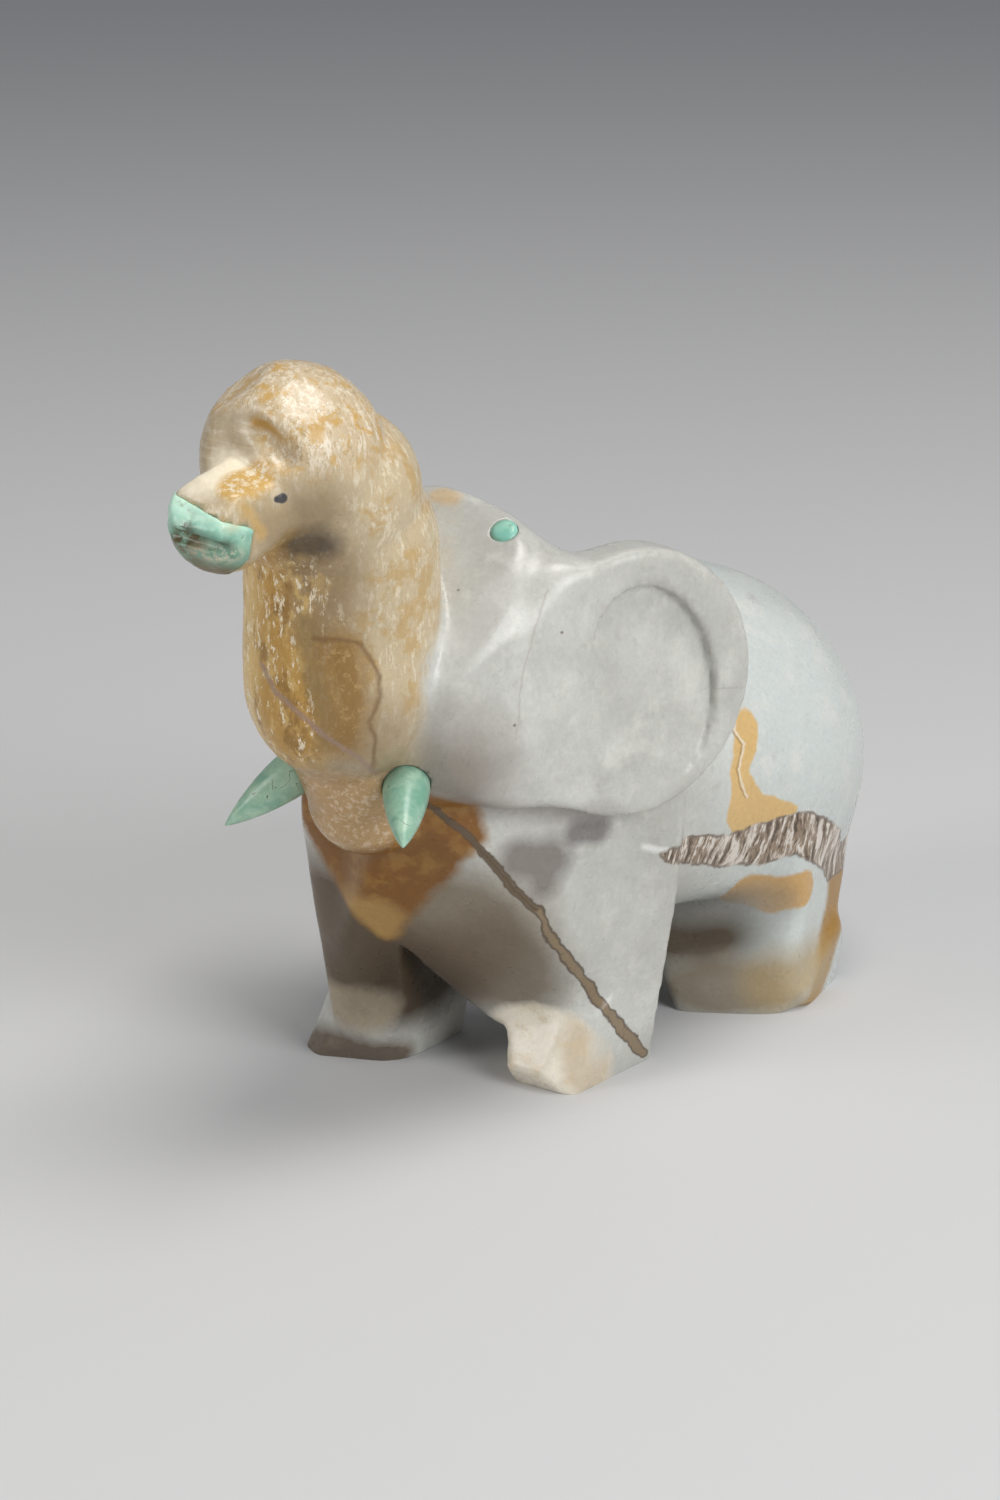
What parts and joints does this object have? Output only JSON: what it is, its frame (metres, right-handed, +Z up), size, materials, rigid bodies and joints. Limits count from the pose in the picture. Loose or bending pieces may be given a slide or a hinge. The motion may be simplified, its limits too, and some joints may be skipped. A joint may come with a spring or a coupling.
{
  "type": "elephant figurine",
  "caption": "Small carved marble elephant with its trunk raised high, round ears, stout legs and inlaid turquoise tusks, eyes and trunk tip.",
  "frame": {"origin": "middle of the carving's outline seen from above, on the ground under its soles", "axes": "+Z up; the elephant faces -Y, so +X is its left side"},
  "size_m": [0.0426, 0.0884, 0.0698],
  "materials": {
    "marble": "satin polish",
    "tusk_turquoise_left": "satin polish",
    "tusk_turquoise_right": "satin polish",
    "eye_turquoise_left": "satin polish",
    "eye_turquoise_right": "satin polish",
    "cap_turquoise": "satin polish"
  },
  "bodies": {
    "root": {"elephant_body": "marble", "tusk_left": "tusk_turquoise_left", "tusk_right": "tusk_turquoise_right", "eye_left": "eye_turquoise_left", "eye_right": "eye_turquoise_right", "trunk_tip_inlay": "cap_turquoise"}
  },
  "joints": []
}
